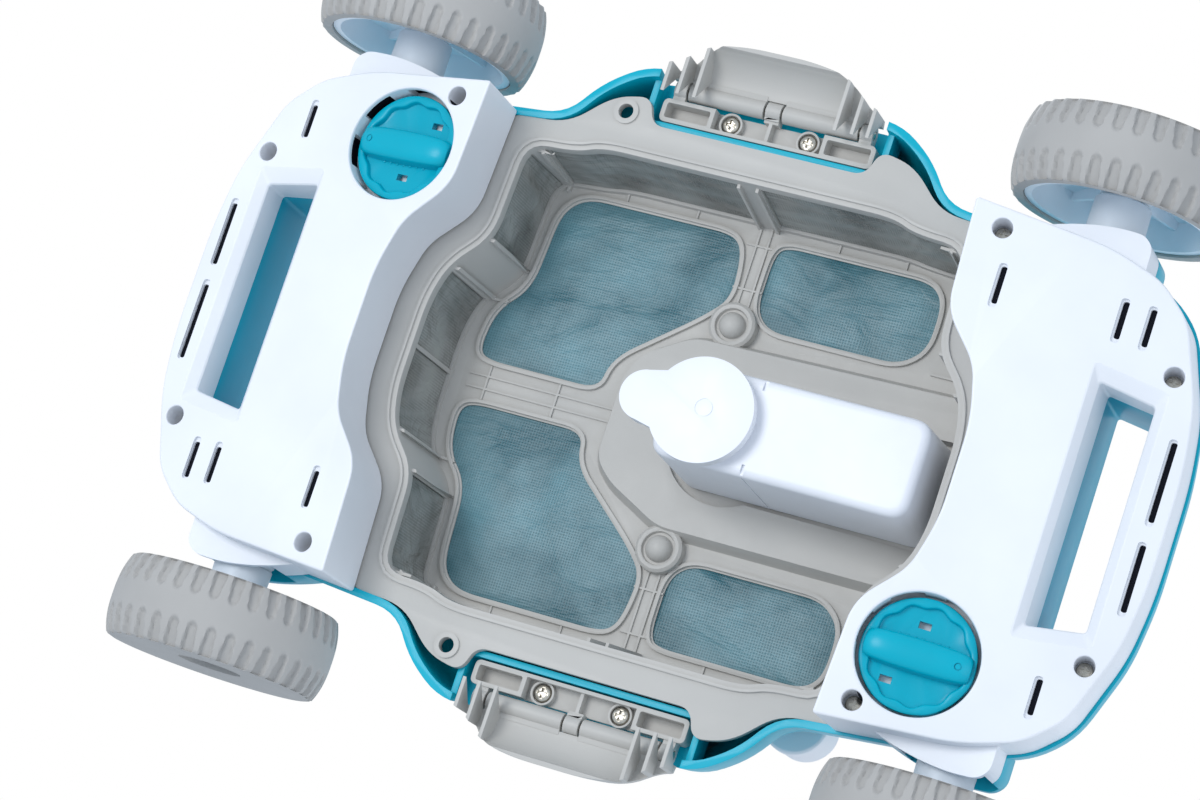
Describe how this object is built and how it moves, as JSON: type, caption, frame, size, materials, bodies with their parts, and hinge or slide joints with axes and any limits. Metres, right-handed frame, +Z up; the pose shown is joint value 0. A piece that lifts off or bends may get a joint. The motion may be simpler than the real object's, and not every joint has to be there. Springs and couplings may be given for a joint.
{
  "type": "pool cleaner",
  "caption": "Cordless robotic pool cleaner seen with its bottom plate off: domed shell, filter basket, drive housing, open latches, steered and fixed wheels.",
  "frame": {"origin": "on the floor plane under the centre of the body, where the tyres stand", "axes": "+X along the body towards the end with the jet nozzles, +Z up in use, +Y across the body"},
  "size_m": [0.398, 0.286, 0.1518],
  "materials": {
    "white_plastic": "satin moulded plastic, slightly blue white",
    "housing_plastic": "satin moulded plastic, white",
    "teal_plastic": "glossy moulded plastic, bright teal",
    "grey_plastic": "satin moulded plastic, warm light grey",
    "filter_mesh": "fine woven nylon mesh",
    "tyre_rubber": "soft grey moulded tread",
    "hub_plastic": "satin moulded plastic, pale blue white",
    "sleeve_plastic": "satin moulded plastic, blue grey",
    "screw_steel": "plated steel",
    "motor_steel": "drawn steel",
    "pump_plastic": "dark moulded plastic",
    "battery_wrap": "shrink wrap",
    "board_laminate": "coated laminate",
    "seal_rubber": "moulded rubber"
  },
  "bodies": {
    "root": {"end_cover_left": "white_plastic", "end_cover_right": "white_plastic", "top_cover": "white_plastic", "jet_nozzle_front": "white_plastic", "jet_nozzle_back": "white_plastic", "drive_housing": "housing_plastic", "motor_cap": "housing_plastic", "upper_shell": "teal_plastic", "filter_basket": "grey_plastic", "latch_base_back": "grey_plastic", "latch_base_front": "grey_plastic", "floor_mesh_large_front": "filter_mesh", "floor_mesh_small_front": "filter_mesh", "floor_mesh_large_back": "filter_mesh", "floor_mesh_small_back": "filter_mesh", "side_mesh_left_1": "filter_mesh", "side_mesh_left_2": "filter_mesh", "side_mesh_left_3": "filter_mesh", "side_mesh_left_4": "filter_mesh", "side_mesh_right_1": "filter_mesh", "side_mesh_right_2": "filter_mesh", "long_mesh_front_1": "filter_mesh", "long_mesh_back_1": "filter_mesh", "long_mesh_front_2": "filter_mesh", "long_mesh_back_2": "filter_mesh", "axle_arm_right_front": "sleeve_plastic", "axle_arm_left_back": "sleeve_plastic", "latch_pin_back": "screw_steel", "latch_pin_front": "screw_steel", "latch_screw_back_1": "screw_steel", "latch_screw_back_2": "screw_steel", "latch_screw_front_1": "screw_steel", "latch_screw_front_2": "screw_steel", "pump_motor": "motor_steel", "pump_volute": "pump_plastic", "battery_pack": "battery_wrap", "control_board": "board_laminate", "housing_seal": "seal_rubber"},
    "wheel_left_front": {"tyre_left_front": "tyre_rubber", "hub_left_front": "hub_plastic", "hub_screw_left_front": "screw_steel"},
    "arm_left_front": {"axle_arm_left_front": "sleeve_plastic"},
    "wheel_right_front": {"tyre_right_front": "tyre_rubber", "hub_right_front": "hub_plastic", "hub_screw_right_front": "screw_steel"},
    "wheel_left_back": {"tyre_left_back": "tyre_rubber", "hub_left_back": "hub_plastic", "hub_screw_left_back": "screw_steel"},
    "wheel_right_back": {"tyre_right_back": "tyre_rubber", "hub_right_back": "hub_plastic", "hub_screw_right_back": "screw_steel"},
    "arm_right_back": {"axle_arm_right_back": "sleeve_plastic"},
    "knob_left": {"steering_knob_left": "teal_plastic"},
    "knob_right": {"steering_knob_right": "teal_plastic"},
    "latch_back": {"latch_back": "grey_plastic"},
    "latch_front": {"latch_front": "grey_plastic"},
    "rotor": {"impeller": "pump_plastic", "pump_shaft": "motor_steel"},
    "button": {"power_button": "teal_plastic"}
  },
  "joints": [
    {"name": "steer_left_front", "type": "hinge", "parent": "root", "child": "arm_left_front", "pos_m": [-0.144, -0.082, 0.044], "axis": [0, 0, 1], "range_deg": [-10, 10]},
    {"name": "spin_left_front", "type": "hinge", "parent": "arm_left_front", "child": "wheel_left_front", "pos_m": [-0.144, -0.127, 0.044], "axis": [0, 1, 0], "continuous": true},
    {"name": "spin_right_front", "type": "hinge", "parent": "root", "child": "wheel_right_front", "pos_m": [0.144, -0.127, 0.044], "axis": [0, 1, 0], "continuous": true},
    {"name": "spin_left_back", "type": "hinge", "parent": "root", "child": "wheel_left_back", "pos_m": [-0.144, 0.127, 0.044], "axis": [0, 1, 0], "continuous": true},
    {"name": "steer_right_back", "type": "hinge", "parent": "root", "child": "arm_right_back", "pos_m": [0.144, 0.082, 0.044], "axis": [0, 0, 1], "range_deg": [-10, 10]},
    {"name": "spin_right_back", "type": "hinge", "parent": "arm_right_back", "child": "wheel_right_back", "pos_m": [0.144, 0.127, 0.044], "axis": [0, 1, 0], "continuous": true},
    {"name": "turn_knob_left", "type": "hinge", "parent": "root", "child": "knob_left", "pos_m": [-0.1279, -0.0683, 0.01702], "axis": [0.1772, 0, 0.9842], "range_deg": [-50, 50]},
    {"name": "turn_knob_right", "type": "hinge", "parent": "root", "child": "knob_right", "pos_m": [0.1279, 0.0683, 0.01702], "axis": [-0.1772, 0, 0.9842], "range_deg": [-50, 50]},
    {"name": "close_latch_back", "type": "hinge", "parent": "root", "child": "latch_back", "pos_m": [0, 0.124, 0.054], "axis": [-1, 0, 0], "range_deg": [0, 45]},
    {"name": "close_latch_front", "type": "hinge", "parent": "root", "child": "latch_front", "pos_m": [0, -0.124, 0.054], "axis": [1, 0, 0], "range_deg": [0, 45]},
    {"name": "spin_impeller", "type": "hinge", "parent": "root", "child": "rotor", "pos_m": [0.017, 0, 0.1], "axis": [0, 0, 1], "continuous": true},
    {"name": "press_button", "type": "slide", "parent": "root", "child": "button", "axis": [0, 0, 1], "range_m": [-0.0015, 0], "stiffness_N_per_m": 300}
  ],
  "couplings": [
    {"joint": "steer_left_front", "follows": "turn_knob_left", "ratio": 0.2},
    {"joint": "steer_right_back", "follows": "turn_knob_right", "ratio": 0.2}
  ]
}
